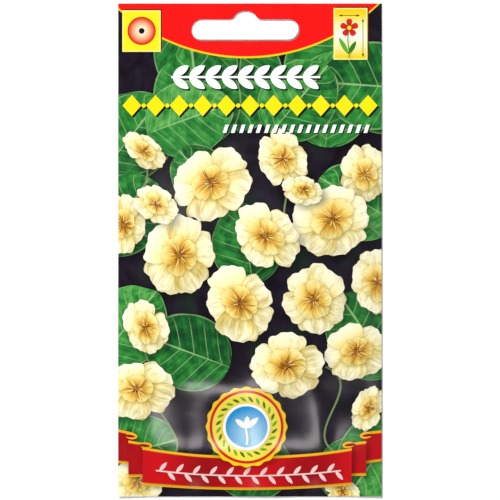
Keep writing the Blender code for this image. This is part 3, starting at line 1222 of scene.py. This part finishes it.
# %% Leaf finish
leaf_finish, tree, ink_in = film_finish("printed_leaf")
ruler = ruler_of(tree)
u, v, _ = ruler
far = maths("ABSOLUTE", u)
slanted = maths("MULTIPLY", maths("SUBTRACT", v, maths("MULTIPLY", far, 0.22)), 6.0)
share = maths("FRACT", slanted)
off_vein = maths("ABSOLUTE", maths("SUBTRACT", share, 0.5))
side_vein = ramp(off_vein, 0.01, 0.045, 1.0, 0.0)
side_vein = maths("MULTIPLY", side_vein, ramp(far, 0.5, 1.0, 0.75, 0.1))
off_midrib = maths("MULTIPLY", far, maths("SUBTRACT", 1.15, v))
veins = maths("MAXIMUM", side_vein, ramp(off_midrib, 0.004, 0.018, 1.0, 0.0))
veins = maths("MAXIMUM", veins, ramp(far, 0.945, 0.99, 0.0, 0.6))
level = swayed(attribute(tree, "tone"), share, 0.14)
level = maths("MULTIPLY_ADD", maths("SIGN", u), 0.07, level)
level = swayed(level, blade_noise(ruler, (1.0, 2.4), 4.0, 4.0), 0.8)
green = stops(level, (
    (0.05, (6, 40, 20)), (0.35, (18, 88, 36)), (0.6, (44, 134, 52)), (0.95, (112, 186, 96)),
))
pale_veins = maths("MULTIPLY", veins, 0.72)
tree.links.new(mixed(pale_veins, green, srgb(168, 208, 138)), ink_in)

# %% [markdown]
# ### Ground, hearts and plain inks
#
# The dark ground keeps a hint of purple and of far-off leaves. The heart of a blossom is a mottled
# amber. The inner side of the film is a mottled mid grey, kept darker than the plain back so that
# where the back ply shows along the slot's lower and right edges it reads as a painted shadow
# line. Every other shape is one ink, or a fade that its outline already carries at its corners.


# %% Ground, heart, inner and ink finishes
def mottled_finish(name, pattern, colours, **skin_values):
    """A film finish with a mottled ink. Its pattern is the noise's scale, detail and distortion."""
    made, tree, ink_in = film_finish(name, **skin_values)
    tree.links.new(stops(noise(object_place(tree), *pattern), colours), ink_in)
    return made


ground_finish = mottled_finish("printed_ground", (95.0, 5.0, 1.2), (
    (0.40, (15, 9, 19)), (0.56, (30, 20, 36)), (0.72, (20, 40, 26)),
))
heart_finish = mottled_finish("printed_heart", (1500.0, 3.0), (
    (0.3, (84, 48, 10)), (0.5, (160, 98, 22)), (0.7, (214, 156, 56)),
))
# Painted shade: this grey is kept dark so that the back ply seen in the slot reads as a shadow line.
inner_grey_and_slot_shade = mottled_finish("inner_film_slot_shade", (300.0, 2.0), (
    (0.3, (136, 134, 132)), (0.7, (158, 156, 152)),
), roughness=0.35, grain_amount=0.05)
ink_finish, tree, ink_in = film_finish("printed_ink", grain_amount=0.07)
tree.links.new(attribute(tree, "ink", "Color"), ink_in)

# %% The printed front as a piece
front_film = film_piece(
    "front_film",
    front_mesh,
    {"Seeds": seed_marks, "Inner Film": inner_grey_and_slot_shade},
    [ground_finish, petal_finish, leaf_finish, heart_finish, ink_finish],
)
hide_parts("front_panel")

# %% [markdown]
# ## The back
#
# The back can't be seen in the picture. Such a bag is closed by a seam down its back, folded flat to
# one side, and its back is paler than its front. The same rule raises it, with no bulge: it follows
# the puckers of the bottom seal, lifts a little at its sides and steps over the seam strip.

# %% Back film
SIDE_GAP = 0.03
BACK_HALF = HALF_WIDE - PLIES / 2.0 - SIDE_GAP
# The back's slot sits a little up and to the left, so its grey inner side shows along the front slot's
# lower and right edges as painted shade.
BACK_SLOT_SHIFT = (-0.35, 0.45)
layers = []
lay(block(-BACK_HALF, BACK_HALF, -HALF_TALL, HALF_TALL, 0.9), finish="plain")
for x in (SEAM_LEFT - SEAM_EDGE, SEAM_RIGHT + SEAM_EDGE):
    lay(block(x - SEAM_EDGE, x + SEAM_EDGE, -HALF_TALL, HALF_TALL, 1.2), finish="plain")
lay(slot_outline(BACK_SLOT_SHIFT), finish="hole")
back_flat, back_triangles, back_winners = cut_sheet(layers, grid(1.5, BACK_HALF, HALF_TALL))
back_shade = np.ones((len(back_triangles), 3))
back_mesh = sheet_mesh(
    "back_sheet", layers, back_flat, back_triangles, back_winners, back_shade, ["plain"]
)
back_mesh.flip_normals()
plain_finish = mottled_finish("plain_back", (120.0, 3.0), (
    (0.3, (226, 224, 216)), (0.7, (240, 239, 232)),
), roughness=0.3, grain_amount=0.05)
back_film = film_piece(
    "back_film",
    back_mesh,
    {
        "Seeds": seed_marks, "Bulge": 0.0, "Tent": 0.0, "Unevenness": 0.0, "Header Crease": 0.0,
        "Ply Height": 0.0, "Fold Radius": 0.0, "Seam Strip": 1.0, "Inner Film": inner_grey_and_slot_shade,
    },
    [plain_finish],
)
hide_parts("back_panel")
bpy.data.objects.remove(seed_marks, do_unlink=True)

# %% [markdown]
# ## The seeds
#
# Nasturtium seeds are corky and ridged, the colour of dry bark. They lie sealed inside, so the CAD
# solids stay as they are and only take a dry, mottled finish.

# %% Seed husk
husk, tree, shader = new_material("seed_husk")
mottle = noise(object_place(tree), 900.0, 5.0, 0.6)
bark = stops(mottle, ((0.3, (96, 70, 44)), (0.5, (150, 120, 84)), (0.7, (190, 164, 124))))
bump = add(tree, "ShaderNodeBump", {"Strength": 0.8, "Distance": 0.0003, "Height": mottle})
dry = ramp(mottle, 0.3, 0.7, 0.75, 0.92)
wire(shader, {"Base Color": bark, "Roughness": dry, "Normal": bump})
for name in SEEDS:
    for material_slot in bpy.data.objects[name].material_slots:
        material_slot.material = husk
